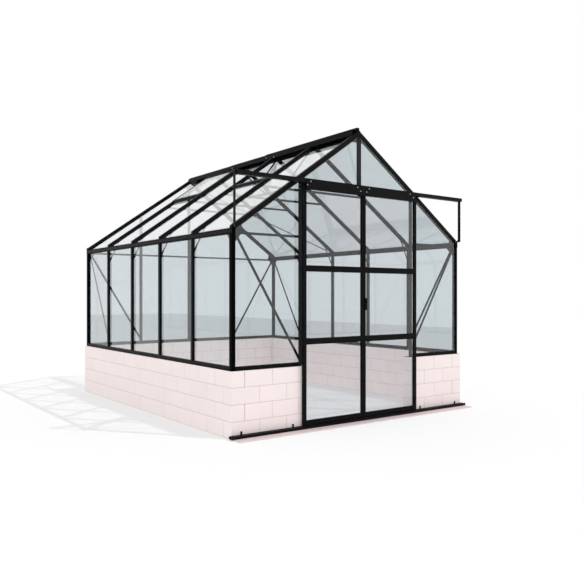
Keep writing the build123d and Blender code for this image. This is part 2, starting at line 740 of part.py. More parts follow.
with BuildPart() as open_vent_frame:
    for y in (HANG_Y0, HANG_Y1 - VENT_BAR):
        hang_slice(0, HANG_LENGTH, VENT_T / 2, y, y + VENT_BAR)
    for s in (0, HANG_LENGTH - VENT_BAR):
        hang_slice(s, s + VENT_BAR, VENT_T / 2, HANG_Y0 + VENT_BAR + FIT, HANG_Y1 - VENT_BAR - FIT)
save(open_vent_frame.part, "open_vent_frame")

with BuildPart() as open_vent_glass:
    hang_slice(
        VENT_BAR + FIT, HANG_LENGTH - VENT_BAR - FIT, GLASS_T / 2,
        HANG_Y0 + VENT_BAR + FIT, HANG_Y1 - VENT_BAR - FIT,
    )
save(open_vent_glass.part, "open_vent_glass")

with BuildPart() as open_vent_stay:
    stay_y = (HANG_Y0 + HANG_Y1 - STAY_T) / 2
    stay_foot = hang_point(HANG_LENGTH - VENT_BAR / 2, VENT_T / 2 + FIT)
    stay_head = (-TRANSOM_OUT - TRANSOM_W / 2, roof_z(TRANSOM_OUT + TRANSOM_W / 2) + STAY_RISE)
    bar = strip(stay_foot, stay_head, STAY_W)
    bar[0] = hang_point(HANG_LENGTH - VENT_BAR / 2 + STAY_W / 2, VENT_T / 2 + FIT)
    bar[3] = hang_point(HANG_LENGTH - VENT_BAR / 2 - STAY_W / 2, VENT_T / 2 + FIT)
    slice_xz(bar, stay_y, stay_y + STAY_T)
save(open_vent_stay.part, "open_vent_stay")

# ---- glass --------------------------------------------------------------------------
with BuildPart() as glass_left:
    for y0, y1 in SIDE_BAYS:
        block(XL + G0, XL + G1, y0 + FIT, y1 - FIT, SILL_Z + FIT, EAVE_LOW - FIT)
save(glass_left.part, "glass_left")

with BuildPart() as glass_right:
    mirror(glass_left.part, about=Plane.YZ)
save(glass_right.part, "glass_right")

PANE_FOOT = RAFTER_FOOT + FIT
PANE_HEAD = RAFTER_HEAD - FIT

with BuildPart() as glass_roof_left:
    for bay, (y0, y1) in enumerate(SIDE_BAYS):
        head = TRANSOM_LOW - FIT if bay in (OPEN_BAY, SHUT_BAY) else PANE_HEAD
        roof_slice(PANE_FOOT, head, G0, G1, y0 + FIT, y1 - FIT)
save(glass_roof_left.part, "glass_roof_left")

with BuildPart() as glass_roof_right:
    for y0, y1 in SIDE_BAYS:
        roof_slice(-PANE_HEAD, -PANE_FOOT, G0, G1, y0 + FIT, y1 - FIT)
save(glass_roof_right.part, "glass_roof_right")


def gable_panes(panels, z0, y0, y1):
    """Panes between bars, from z0 up to the slope of the rafters."""
    for left, right in panels:
        x0, x1 = left + FIT, right - FIT
        top0 = under(x0, GABLE_RAFTER_D) - FIT
        top1 = under(x1, GABLE_RAFTER_D) - FIT
        slice_xz([(x0, z0 + FIT), (x1, z0 + FIT), (x1, top1), (x0, top0)], y0, y1)


with BuildPart() as glass_back:
    gable_panes(BACK_PANELS, SILL_Z, YB - GABLE_IN, YB - GABLE_SET)
save(glass_back.part, "glass_back")

with BuildPart() as glass_front:
    centre = CENTRE_POST_W / 2
    gable_panes(FRONT_PANELS, SILL_Z, YF + GABLE_SET, YF + GABLE_IN)
    gable_panes([(-JAMB_X, -centre), (centre, JAMB_X)], BEAM_TOP, YF + GABLE_SET, YF + GABLE_IN)
save(glass_front.part, "glass_front")
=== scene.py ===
"""Looks of a gable-roofed glass greenhouse on a brick dwarf wall.

Laid out as a Blender add-on and run as a script: main() calls the operators in order.
Metres, +Z up. The door gable faces -Y and the ridge runs along Y.
"""
from math import cos, radians, sin, tan

import bmesh
import bpy
from bpy.props import FloatProperty, FloatVectorProperty, IntProperty, PointerProperty
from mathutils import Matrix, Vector


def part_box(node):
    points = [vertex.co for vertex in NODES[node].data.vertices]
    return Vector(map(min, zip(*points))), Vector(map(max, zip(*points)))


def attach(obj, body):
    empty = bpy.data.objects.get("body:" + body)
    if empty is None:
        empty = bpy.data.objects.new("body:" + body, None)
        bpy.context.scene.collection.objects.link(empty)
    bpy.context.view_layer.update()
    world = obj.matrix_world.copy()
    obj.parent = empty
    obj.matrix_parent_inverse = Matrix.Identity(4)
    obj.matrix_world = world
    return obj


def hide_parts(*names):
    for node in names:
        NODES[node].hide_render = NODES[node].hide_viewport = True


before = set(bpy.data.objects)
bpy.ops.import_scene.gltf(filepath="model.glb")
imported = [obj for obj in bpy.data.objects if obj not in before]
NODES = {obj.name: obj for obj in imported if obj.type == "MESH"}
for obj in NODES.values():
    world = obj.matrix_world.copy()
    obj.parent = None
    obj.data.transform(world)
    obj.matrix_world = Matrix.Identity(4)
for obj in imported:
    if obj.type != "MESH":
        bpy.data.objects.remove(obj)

bl_info = {
    "name": "Glass greenhouse",
    "version": (1, 0, 0),
    "blender": (4, 5, 0),
    "location": "View3D > Sidebar > Greenhouse",
    "description": "Brickwork, bars, flashings, panes, seals and bolts of a small glasshouse",
    "category": "Add Mesh",
}

BUILDING = "building"
LEFT_DOOR = "left_door"
RIGHT_DOOR = "right_door"

WALLS = ("wall_left", "wall_right", "wall_back", "wall_front_left", "wall_front_right")
DOOR_BARS = ("left_door_frame", "right_door_frame", "right_door_handle")
ROLLERS = ("left_door_rollers", "right_door_rollers")
TRACKS = ("bottom_track", "top_track", "top_track_sides", "top_track_lips", "track_clips")
CORNERS = ("corner_posts", "eave_end_plates")
RAFTERS = ("rafters_left", "rafters_right")
GABLE_POSTS = ("gable_posts_front",)
LEFT_ROOF_GLASS = ("glass_roof_left", "shut_vent_glass", "open_vent_glass")
RIGHT_ROOF_GLASS = ("glass_roof_right",)
WALL_GLASS = ("glass_left", "glass_right", "glass_front", "glass_back")
DOOR_GLASS = ("left_door_glass", "right_door_glass")
GLASS = LEFT_ROOF_GLASS + RIGHT_ROOF_GLASS + WALL_GLASS + DOOR_GLASS

# ---- directions ---------------------------------------------------------------------
LEFT, RIGHT, FRONT, BACK = (-1, 0, 0), (1, 0, 0), (0, -1, 0), (0, 1, 0)
ROOF_SLOPE = radians(34.9)
OPEN_VENT_SLOPE = radians(51.8)
LEFT_ROOF = Vector((-sin(ROOF_SLOPE), 0, cos(ROOF_SLOPE)))
RIGHT_ROOF = Vector((sin(ROOF_SLOPE), 0, cos(ROOF_SLOPE)))
OPEN_VENT = Vector((-sin(OPEN_VENT_SLOPE), 0, cos(OPEN_VENT_SLOPE)))

CAPPED_BARS = (
    ("rafters_left", LEFT_ROOF), ("rafters_right", RIGHT_ROOF), ("side_posts_left", LEFT),
    ("side_posts_right", RIGHT), ("gable_posts_back", BACK),
)
SEALED_PANES = {
    BUILDING: [
        ("glass_left", LEFT), ("glass_right", RIGHT), ("glass_front", FRONT), ("glass_back", BACK),
        ("glass_roof_left", LEFT_ROOF), ("glass_roof_right", RIGHT_ROOF),
        ("shut_vent_glass", LEFT_ROOF), ("open_vent_glass", OPEN_VENT),
    ],
    LEFT_DOOR: [("left_door_glass", FRONT)],
    RIGHT_DOOR: [("right_door_glass", FRONT)],
}

# ---- small sizes of the details -----------------------------------------------------
MERGE = 1e-5                 # corners nearer than this are one
PANE_FACES = 0.9             # least cosine of a pane's face to the side that it looks to
BAR_FACES = 0.95             # the same for a bar
STRAIGHT_ON = 0.999          # cosine past which two edges of a rim have no mitre
LONG_FACE = 4                # least length of a bar's long face over its width
BED_FOOT = 0.0005            # foot of the mortar beds over the ground
STRIP_SINK = 0.0002          # foot of a strip inside the bar that it lies on
STRIP_PROFILE = ((-0.5, 0.0), (0.5, 0.0), (0.5, 0.55), (0.34, 1.0), (-0.34, 1.0), (-0.5, 0.55))
CAP_RISE = 0.0025
WING_RISE = 0.006
WEB_WIDTH = 0.024
WEB_BEHIND_GLASS = 0.001
DRIP_WIDTH = 0.008
DRIP_RISE = 0.001
SEAL_INSET = 0.9             # seal in from the rim of its pane, in its own radii
SEAL_RISE = 0.4              # middle of a seal off the glass, in its own radii

# ridge flashings: a flat top that falls a little, then a lip that hangs to the rafters
FLASHING_SHEET = 0.0015
FLASHING_TO_CAPS = 0.0005
FLASHING_RISE = 0.005        # flat top over the ridge beam
FLASHING_FALL = 0.002
LIP_OVER_RAFTERS = 0.001
LIP_OVER_VENT = 0.0105       # lip over the shut vent, above the rest of its foot
FLASHING_START = 0.02        # left flashing behind the front of the ridge beam
FLASHING_START_RIGHT = 0.07  # right flashing behind the start of the left one
FLASHING_END = 0.14          # both flashings in front of the back of the ridge beam

# bolts
BOLT_HEIGHT = 0.0035
WASHER_REACH = 1.3           # radius of a washer, in bolt radii
WASHER_THICK = 0.0012
HEAD_SIDES = 6
WASHER_SIDES = 14
HEAD_TAPER = 0.86            # width of the top over the width of the foot
WASHER_TAPER = 0.92
# x of the low and the high bolt of each pair on the header fascia
FASCIA_BOLTS = ((-0.619, -0.586), (-0.046, -0.081), (0.023, 0.052), (0.596, 0.554))
FASCIA_DROPS = (0.052, 0.022)  # of both, below the top of the fascia
POST_DROPS = (0.044, 0.076)    # of the two bolts on each door post, below the same top
POST_BOLT_IN = 0.011
PLATE_BOLTS_IN = (0.010, 0.025)
PLATE_BOLT_DROP = 0.009
# part of the way along the ridge caps, and drop below their top
RIDGE_BOLTS = ((0.640, 0.053), (0.425, 0.051), (0.3835, 0.062))

# stage
FLOOR_CORNERS = ((-45.0, -45.0), (13.5, -45.0), (13.5, 30.0), (-45.0, 30.0))
FLOOR_Z = -0.0005
INSIDE_FLOOR_Z = 0.001
SENSOR_WIDTH = 36.0          # millimetres
FAR_CLIP = 200.0
SUN_SPREAD = radians(0.8)
SUN_WAY = (-0.49, 0.63, -1.0)

# each kind of bar: how many times the plain coat's colour it has, and its specular level. All the
# bars wear one coat: the lighter copies are painted light and painted highlights, the darker copies
# painted shade
COATS = {
    "frame_coat": (1.0, 0.07),
    "rafter_painted_light_coat": (2.2, 0.07),
    "corner_painted_shade_coat": (0.2, 0.02),
    "post_painted_light_coat": (5.0, 0.07),
    "door_coat": (1.0, 0.05),
    "wing_painted_shade_coat": (0.8, 0.1),
    "cap_painted_highlight_coat": (9.0, 0.07),
    "edge_painted_shade_coat": (0.4, 0.02),
    "web_painted_light_coat": (2.2, 0.07),
    "flashing_painted_shade_coat": (0.8, 0.07),
}
ROLLER_STEEL = (0.45, 0.46, 0.47)
BOLT_ZINC = (0.66, 0.67, 0.68)


# ---- sizes and colours that a user would change -------------------------------------
def length_property(name, description, default):
    """Length in metres."""
    return FloatProperty(
        name=name, description=description, default=default, min=0.0, unit="LENGTH"
    )


def colour_property(name, description, default):
    """Linear colour."""
    return FloatVectorProperty(
        name=name, description=description, default=default, size=3, min=0.0, max=1.0,
        subtype="COLOR",
    )


class BrickworkSettings(bpy.types.PropertyGroup):
    """Dwarf wall."""
    brick: length_property("Brick", "Length of a brick with its joint", 0.256)
    courses: IntProperty(name="Courses", description="Rows of bricks", default=4, min=1)
    joint: length_property("Joint", "Thickness of a mortar joint", 0.005)
    recess: length_property("Recess", "Depth of the joints behind the brick faces", 0.0025)
    arris: length_property("Arris", "Rounding of the brick edges", 0.0025)
    brick_colour: colour_property("Brick colour", "Colour of the bricks", (0.965, 0.862, 0.852))
    mortar_colour: colour_property("Mortar colour", "Colour of the joints", (0.80, 0.60, 0.61))
    strip_colour: colour_property("Threshold colour", "Colour of the threshold", (0.80, 0.66, 0.67))


class FrameSettings(bpy.types.PropertyGroup):
    """Bars, tracks and fixings."""
    coat: colour_property("Coat", "Colour of the powder coat", (0.0045, 0.0045, 0.005))
    track_coat: colour_property("Track coat", "Colour of the tracks", (0.0065, 0.0065, 0.007))
    seal: length_property("Seal", "Radius of the glazing seals", 0.0012)
    bolt: length_property("Bolt", "Radius of a bolt head", 0.0040)
    cap: length_property("Cap", "Width of a capping strip", 0.018)
    web: length_property("Web", "Depth of the web under a rafter", 0.013)
    gable_web: length_property("Gable web", "Depth of the web under a gable rafter", 0.010)
    wing: length_property("Wing", "Width of the wing on each side of a rafter", 0.016)
    bar_above_glass: length_property(
        "Bar above glass", "Height of a rafter over the roof glass", 0.0186
    )
    flashing: length_property("Flashing", "Reach of a ridge flashing from the ridge", 0.062)


class GlassSettings(bpy.types.PropertyGroup):
    """Panes."""
    wall_tint: colour_property("Wall tint", "What a wall pane lets through", (0.755, 0.797, 0.812))
    left_roof_tint: colour_property(
        "Left roof tint", "What a left roof pane lets through", (0.92, 0.93, 0.94)
    )
    right_roof_tint: colour_property(
        "Right roof tint", "What a right roof pane lets through", (0.66, 0.70, 0.715)
    )
    door_tint: colour_property("Door tint", "What a door pane lets through", (0.77, 0.79, 0.812))


class StageSettings(bpy.types.PropertyGroup):
    """Camera, floor and light."""
    lens: FloatProperty(
        name="Lens", description="Focal length", default=41.1, subtype="DISTANCE_CAMERA"
    )
    eye: FloatVectorProperty(
        name="Eye", description="Place of the camera", default=(-3.892, -5.793, 1.081),
        subtype="XYZ",
    )
    heading: FloatProperty(
        name="Heading", description="Turn of the camera from +Y towards +X", default=radians(36.42),
        subtype="ANGLE",
    )
    rise: FloatProperty(name="Rise", description="Vertical shift of the lens", default=0.0053)
    world_light: FloatProperty(
        name="World light", description="Strength of the plain light", default=1.0
    )
    key_light: FloatProperty(name="Key light", description="Strength of the soft sun", default=0.06)
    floor_sun: FloatProperty(
        name="Floor sun", description="Strength of the sun on the floor", default=1.2
    )


SETTINGS = {
    "gh_brickwork": BrickworkSettings,
    "gh_frame": FrameSettings,
    "gh_glass": GlassSettings,
    "gh_stage": StageSettings,
}


# ---- node helpers -------------------------------------------------------------------
def add_node(tree, kind, links=(), **settings):
    """New node. links sets its inputs by name or number: a socket is linked, a value is set."""
    node = tree.nodes.new(kind)
    for name, value in settings.items():
        setattr(node, name, value)
    for key, value in dict(links).items():
        socket = node.inputs[key]
        if isinstance(value, bpy.types.NodeSocket):
            tree.links.new(value, socket)
        else:
            socket.default_value = value
    return node


def maths(tree, operation, *values):
    """Output of a Math node."""
    kind = "ShaderNodeMath"
    return add_node(tree, kind, enumerate(values), operation=operation).outputs[0]


def vector_maths(tree, operation, *values):
    """Output of a Vector Math node. A scale factor is its fourth input."""
    links = {3: values[1], 0: values[0]} if operation == "SCALE" else enumerate(values)
    return add_node(tree, "ShaderNodeVectorMath", links, operation=operation).outputs[0]


def new_material(name):
    """Empty material, its tree and its output node."""
    material = bpy.data.materials.new(name)
    material.use_nodes = True
    tree = material.node_tree
    tree.nodes.clear()
    return material, tree, tree.nodes.new("ShaderNodeOutputMaterial")


def principled(name, tree_inputs):
    """Material of one Principled shader. tree_inputs makes the shader's inputs in its tree."""
    material, tree, out = new_material(name)
    shader = add_node(tree, "ShaderNodeBsdfPrincipled", tree_inputs(tree))
    tree.links.new(shader.outputs[0], out.inputs[0])
    return material


def noise(tree, scale, detail=2.0, stretch=(1.0, 1.0, 1.0)):
    """Noise in object coordinates, stretched along the axes."""
    place = add_node(tree, "ShaderNodeTexCoord").outputs["Object"]
    mapping = add_node(tree, "ShaderNodeMapping", {"Vector": place, "Scale": stretch}).outputs[0]
    return add_node(
        tree, "ShaderNodeTexNoise", {"Vector": mapping, "Scale": scale, "Detail": detail}
    ).outputs["Fac"]


def between_values(tree, fac, low, high):
    """fac, which runs about its middle, spread from low to high."""
    return add_node(
        tree, "ShaderNodeMapRange",
        {"Value": fac, "From Min": 0.3, "From Max": 0.7, "To Min": low, "To Max": high},
    ).outputs[0]


def between_colours(tree, fac, low, high):
    """Mix of two colours, where low may be a socket. Inputs 6 and 7 are a Mix node's colours."""
    if not isinstance(low, bpy.types.NodeSocket):
        low = (*low, 1.0)
    return add_node(
        tree, "ShaderNodeMix", {"Factor": fac, 6: low, 7: (*high, 1.0)}, data_type="RGBA"
    ).outputs[2]


def bump(tree, height, strength, distance):
    """Normal from a height."""
    return add_node(
        tree, "ShaderNodeBump", {"Height": height, "Strength": strength, "Distance": distance}
    ).outputs[0]


def shade(colour, amount):
    """Colour times an amount."""
    return tuple(min(1.0, c * amount) for c in colour)


# ---- materials ----------------------------------------------------------------------
def powder_coat(name, colour, roughness=0.42, specular=0.07):
    """Satin powder coat: fine orange peel, slight cloudiness."""
    def inputs(tree):
        cloud = noise(tree, scale=3.0)
        peel = noise(tree, scale=900.0, detail=1.0)
        wear = noise(tree, scale=14.0)
        return {
            "Base Color": between_colours(tree, cloud, shade(colour, 0.8), shade(colour, 1.25)),
            "Roughness": between_values(tree, wear, low=roughness - 0.05, high=roughness + 0.07),
            "Specular IOR Level": specular,
            "Normal": bump(tree, peel, strength=0.12, distance=0.0004),
        }

    return principled(name, inputs)


def bar_coat(name, coat):
    """Powder coat of one kind of bar, as far from the plain coat as COATS says: lighter copies are
    painted light, darker ones painted shade.
    """
    amount, specular = COATS[name]
    return powder_coat(name, shade(coat, amount), specular=specular)


def fired_clay(name, colour):
    """Brick faces: each brick its own tone, with a sandy surface."""
    def inputs(tree):
        tone = add_node(tree, "ShaderNodeAttribute", attribute_name="tone").outputs["Fac"]
        grain = noise(tree, scale=160.0, detail=4.0)
        blotch = between_values(tree, noise(tree, scale=11.0), low=0.0, high=0.12)
        each = between_colours(tree, tone, shade(colour, 0.985), shade(colour, 1.02))
        return {
            "Base Color": between_colours(tree, blotch, each, shade(colour, 0.93)),
            "Roughness": between_values(tree, grain, low=0.8, high=0.95),
            "Specular IOR Level": 0.2,
            "Normal": bump(tree, grain, strength=0.25, distance=0.001),
        }

    return principled(name, inputs)


def cement(name, colour):
    """Mortar and cast concrete: matt and grainy."""
    def inputs(tree):
        grain = noise(tree, scale=260.0, detail=3.0)
        cloud = noise(tree, scale=9.0)
        return {
            "Base Color": between_colours(tree, cloud, shade(colour, 0.96), shade(colour, 1.03)),
            "Roughness": between_values(tree, grain, low=0.85, high=0.97),
            "Specular IOR Level": 0.15,
            "Normal": bump(tree, grain, strength=0.3, distance=0.0008),
        }

    return principled(name, inputs)


def bright_zinc(name, colour):
    """Zinc-plated steel with a fine spangle."""
    def inputs(tree):
        spangle = noise(tree, scale=400.0)
        return {
            "Base Color": between_colours(tree, spangle, shade(colour, 0.9), shade(colour, 1.08)),
            "Metallic": 1.0,
            "Roughness": between_values(tree, spangle, low=0.28, high=0.42),
        }

    return principled(name, inputs)


def seal_rubber(name):
    """Black glazing rubber."""
    def inputs(tree):
        grain = noise(tree, scale=500.0)
        return {
            "Base Color": between_colours(tree, grain, low=(0.008,) * 3, high=(0.016,) * 3),
            "Roughness": between_values(tree, grain, low=0.6, high=0.8),
            "Specular IOR Level": 0.1,
        }

    return principled(name, inputs)


def float_glass(name, tint, ripple_depth=0.03):
    """Pane that bends sight a little, and lets lamps and soft light straight through."""
    material, tree, out = new_material(name)
    ripple = noise(tree, scale=2.2, stretch=(1.0, 1.0, 0.35))
    film = noise(tree, scale=5.0)
    glass = add_node(
        tree, "ShaderNodeBsdfPrincipled",
        {
            "Base Color": (*tint, 1.0),
            "Transmission Weight": 1.0,
            "IOR": 1.5,
            "Roughness": between_values(tree, film, low=0.0, high=0.003),
            "Normal": bump(tree, ripple, strength=ripple_depth, distance=0.002),
        },
    )
    # soft light and lamps meet a fainter tint, its fifth root
    faint = tuple(c ** 0.2 for c in tint)
    clear = add_node(tree, "ShaderNodeBsdfTransparent", {"Color": (*faint, 1.0)})
    path = add_node(tree, "ShaderNodeLightPath")
    soft = add_node(
        tree, "ShaderNodeMixShader",
        {0: path.outputs["Is Diffuse Ray"], 1: glass.outputs[0], 2: clear.outputs[0]},
    )
    lamps = add_node(
        tree, "ShaderNodeMixShader",
        {0: path.outputs["Is Shadow Ray"], 1: soft.outputs[0], 2: clear.outputs[0]},
    )
    tree.links.new(lamps.outputs[0], out.inputs[0])
    return material


def pale_floor(name, through, bounced, albedo=0.5, seen=0.37):
    """Plain white floor that keeps a shadow. It glows a little, by the kind of ray: seen by
    the camera and in mirrors, seen through glass, or bounced off something else."""
    material, tree, out = new_material(name)
    path = add_node(tree, "ShaderNodeLightPath").outputs
    mirrored = maths(tree, "SUBTRACT", path["Is Glossy Ray"], path["Is Transmission Ray"])
    direct = maths(tree, "MAXIMUM", path["Is Camera Ray"], mirrored)
    spread = maths(tree, "MULTIPLY", path["Is Diffuse Ray"], bounced)
    strength = maths(
        tree, "ADD", maths(tree, "MULTIPLY", direct, seen),
        maths(tree, "MULTIPLY_ADD", path["Is Transmission Ray"], through, spread),
    )
    base = add_node(tree, "ShaderNodeBsdfDiffuse", {"Color": (albedo, albedo, albedo, 1.0)})
    glow = add_node(tree, "ShaderNodeEmission", {"Color": (1, 1, 1, 1), "Strength": strength})
    both = add_node(tree, "ShaderNodeAddShader", {0: base.outputs[0], 1: glow.outputs[0]})
    tree.links.new(both.outputs[0], out.inputs[0])
    return material


def paint(names, material):
    """Puts a material on CAD nodes."""
    for name in names:
        for place in NODES[name].material_slots:
            place.material = material


# ---- geometry node trees ------------------------------------------------------------
def new_geometry_tree(name, sockets):
    """Geometry tree with named inputs after the incoming geometry, and those inputs' sockets."""
    tree = bpy.data.node_groups.new(name, "GeometryNodeTree")
    tree.interface.new_socket("Geometry", in_out="INPUT", socket_type="NodeSocketGeometry")
    for label, kind in sockets:
        tree.interface.new_socket(label, in_out="INPUT", socket_type="NodeSocket" + kind)
    tree.interface.new_socket("Geometry", in_out="OUTPUT", socket_type="NodeSocketGeometry")
    return tree, tree.nodes.new("NodeGroupInput").outputs


def close_tree(tree, geometry, material):
    """Ends a tree in Realize Instances and Set Material."""
    real = add_node(tree, "GeometryNodeRealizeInstances", {0: geometry}).outputs[0]
    painted = add_node(tree, "GeometryNodeSetMaterial", {"Geometry": real, "Material": material})
    add_node(tree, "NodeGroupOutput", {0: painted.outputs[0]})
    return tree


def brick_run_tree():
    """Adds a run of bricks in half bond between two ends that step from course to course."""
    tree, given = new_geometry_tree(
        "brick_run",
        [
            ("Courses", "Int"), ("Course", "Float"), ("Joint", "Float"), ("Depth", "Float"),
            ("Brick Even", "Float"), ("Brick Odd", "Float"), ("Start Even", "Float"),
            ("Start Odd", "Float"), ("End Even", "Float"), ("End Odd", "Float"),
            ("Corner", "Vector"), ("Along", "Vector"), ("Inward", "Vector"), ("Seed", "Int"),
            ("Material", "Material"),
        ],
    )
    longest = maths(tree, "MAXIMUM", given["End Even"], given["End Odd"])
    shortest = maths(tree, "MINIMUM", given["Brick Even"], given["Brick Odd"])
    columns = maths(tree, "ADD", maths(tree, "CEIL", maths(tree, "DIVIDE", longest, shortest)), 1.0)
    points = add_node(
        tree, "GeometryNodePoints", {"Count": maths(tree, "MULTIPLY", columns, given["Courses"])}
    ).outputs[0]
    index = add_node(tree, "GeometryNodeInputIndex").outputs[0]
    row = maths(tree, "FLOOR", maths(tree, "DIVIDE", maths(tree, "ADD", index, 0.5), columns))
    column = maths(tree, "SUBTRACT", index, maths(tree, "MULTIPLY", row, columns))
    odd = maths(tree, "MODULO", row, 2.0)

    def by_course(even, other):
        return maths(tree, "MULTIPLY_ADD", odd, maths(tree, "SUBTRACT", other, even), even)

    brick = by_course(given["Brick Even"], given["Brick Odd"])
    start = by_course(given["Start Even"], given["Start Odd"])
    end = by_course(given["End Even"], given["End Odd"])
    low = maths(tree, "MULTIPLY_ADD", column, brick, start)
    whole = maths(tree, "SUBTRACT", maths(tree, "ADD", low, brick), given["Joint"])
    high = maths(tree, "MINIMUM", whole, end)
    width = maths(tree, "SUBTRACT", high, low)
    middle = maths(tree, "MULTIPLY", maths(tree, "ADD", low, high), 0.5)
    height = maths(tree, "MULTIPLY", maths(tree, "ADD", row, 0.5), given["Course"])
    up = add_node(tree, "ShaderNodeCombineXYZ", {"Z": height}).outputs[0]
    half_depth = maths(tree, "MULTIPLY", given["Depth"], 0.5)
    across = vector_maths(tree, "SCALE", given["Inward"], half_depth)
    place = vector_maths(
        tree, "ADD", vector_maths(tree, "ADD", given["Corner"], up),
        vector_maths(tree, "ADD", vector_maths(tree, "SCALE", given["Along"], middle), across),
    )
    laid = add_node(
        tree, "GeometryNodeSetPosition", {"Geometry": points, "Position": place}
    ).outputs[0]
    least = maths(tree, "MULTIPLY", given["Joint"], 2.0)
    # the deletion renumbers the points that width is worked out from, so it is stored first
    stored = add_node(
        tree, "GeometryNodeStoreNamedAttribute",
        {"Geometry": laid, "Name": "width", "Value": width}, data_type="FLOAT", domain="POINT",
    ).outputs[0]
    kept = add_node(
        tree, "GeometryNodeDeleteGeometry",
        {"Geometry": stored, "Selection": maths(tree, "LESS_THAN", width, least)}, domain="POINT",
    ).outputs[0]
    stored_width = add_node(
        tree, "GeometryNodeInputNamedAttribute", {"Name": "width"}, data_type="FLOAT"
    ).outputs[0]
    tall = maths(tree, "SUBTRACT", given["Course"], given["Joint"])
    along = vector_maths(tree, "ABSOLUTE", given["Along"])
    inward = vector_maths(tree, "ABSOLUTE", given["Inward"])
    size = vector_maths(
        tree, "ADD", add_node(tree, "ShaderNodeCombineXYZ", {"Z": tall}).outputs[0],
        vector_maths(
            tree, "ADD", vector_maths(tree, "SCALE", along, stored_width),
            vector_maths(tree, "SCALE", inward, given["Depth"]),
        ),
    )
    cube = add_node(tree, "GeometryNodeMeshCube").outputs[0]
    bricks = add_node(
        tree, "GeometryNodeInstanceOnPoints", {"Points": kept, "Instance": cube, "Scale": size}
    ).outputs[0]
    tone = add_node(
        tree, "FunctionNodeRandomValue", {"Seed": given["Seed"]}, data_type="FLOAT"
    ).outputs[1]
    toned = add_node(
        tree, "GeometryNodeStoreNamedAttribute",
        {"Geometry": bricks, "Name": "tone", "Value": tone}, data_type="FLOAT", domain="INSTANCE",
    ).outputs[0]
    joined = add_node(tree, "GeometryNodeJoinGeometry", {0: toned})
    tree.links.new(given["Geometry"], joined.inputs[0])
    return close_tree(tree, joined.outputs[0], given["Material"])


def seal_tree():
    """Turns outlines into round seals."""
    tree, given = new_geometry_tree("seal", [("Radius", "Float"), ("Material", "Material")])
    line = add_node(tree, "GeometryNodeMeshToCurve", {0: given["Geometry"]}).outputs[0]
    ring = add_node(
        tree, "GeometryNodeCurvePrimitiveCircle", {"Resolution": 6, "Radius": given["Radius"]}
    ).outputs[0]
    tube = add_node(
        tree, "GeometryNodeCurveToMesh", {"Curve": line, "Profile Curve": ring}
    ).outputs[0]
    return close_tree(tree, tube, given["Material"])


def tapered_disc(tree, sides, radius, depth, taper):
    """Short cone whose top is taper times as wide as its foot."""
    return add_node(
        tree, "GeometryNodeMeshCone",
        {
            "Vertices": sides, "Radius Bottom": radius, "Depth": depth,
            "Radius Top": maths(tree, "MULTIPLY", radius, taper),
        },
    ).outputs[0]


def bolt_tree():
    """Sets a tapered hexagon head on a washer at each point, facing along its own direction."""
    tree, given = new_geometry_tree(
        "bolt",
        [("Radius", "Float"), ("Height", "Float"), ("Washer", "Float"), ("Material", "Material")],
    )
    head = tapered_disc(tree, HEAD_SIDES, given["Radius"], given["Height"], HEAD_TAPER)
    disc = tapered_disc(tree, WASHER_SIDES, given["Washer"], WASHER_THICK, WASHER_TAPER)
    both = add_node(tree, "GeometryNodeJoinGeometry", {0: head})
    tree.links.new(disc, both.inputs[0])
    facing = add_node(
        tree, "GeometryNodeInputNamedAttribute", {"Name": "facing"}, data_type="FLOAT_VECTOR"
    ).outputs[0]
    turn = add_node(
        tree, "FunctionNodeAlignRotationToVector", {"Vector": facing}, axis="Z"
    ).outputs[0]
    bolts = add_node(
        tree, "GeometryNodeInstanceOnPoints",
        {"Points": given["Geometry"], "Instance": both.outputs[0], "Rotation": turn},
    ).outputs[0]
    return close_tree(tree, bolts, given["Material"])


# ---- meshes -------------------------------------------------------------------------
def new_object(name, mesh=None):
    """Object at the origin with a mesh, which is empty unless one is given."""
    piece = bpy.data.objects.new(name, mesh or bpy.data.meshes.new(name))
    bpy.context.scene.collection.objects.link(piece)
    return piece


def apply_tree(piece, tree, values):
    """Puts a geometry tree on a piece, with its inputs by name."""
    modifier = piece.modifiers.new(tree.name, "NODES")
    modifier.node_group = tree
    for socket in tree.interface.items_tree:
        if socket.in_out == "INPUT" and socket.name in values:
            modifier[socket.identifier] = values[socket.name]


def settle(piece):
    """Turns a piece and its modifiers into a plain mesh."""
    depsgraph = bpy.context.evaluated_depsgraph_get()
    mesh = bpy.data.meshes.new_from_object(piece.evaluated_get(depsgraph))
    mesh.name = piece.name
    piece.modifiers.clear()
    piece.data = mesh


def edge_mesh(name, points, edges):
    """Mesh of loose edges."""
    mesh = bpy.data.meshes.new(name)
    mesh.from_pydata(points, edges, [])
    return mesh


def merged_copy(node):
    """Working copy of a node's mesh with its corners merged."""
    work = bmesh.new()
    work.from_mesh(NODES[node].data)
    bmesh.ops.remove_doubles(work, verts=work.verts, dist=MERGE)
    return work


def rims(node, outward, inset, rise):
    """Outlines of a node's panes on the side that faces outward, moved in and off the glass."""
    work = merged_copy(node)
    outward = Vector(outward).normalized()
    work.normal_update()
    facing = {f for f in work.faces if f.normal.dot(outward) > PANE_FACES}
    rim = [e for e in work.edges if len([f for f in e.link_faces if f in facing]) == 1]
    steps = {}
    for edge in rim:
        face = next(f for f in edge.link_faces if f in facing)
        along = (edge.verts[1].co - edge.verts[0].co).normalized()
        inside = face.normal.cross(along)
        if inside.dot(face.calc_center_median() - edge.verts[0].co) < 0:
            inside = -inside
        for corner in edge.verts:
            steps.setdefault(corner.index, []).append((inside, face.normal.copy()))
    numbers = {corner: i for i, corner in enumerate(steps)}
    work.verts.ensure_lookup_table()
    points = []
    for corner, found in steps.items():
        (first, normal), (last, _) = found[0], found[-1]
        turn = first.dot(last)
        mitre = (first + last) / (1 + turn) if turn < STRAIGHT_ON else first
        points.append(work.verts[corner].co + mitre * inset + normal * rise)
    edges = [tuple(numbers[v.index] for v in e.verts) for e in rim]
    work.free()
    return points, edges


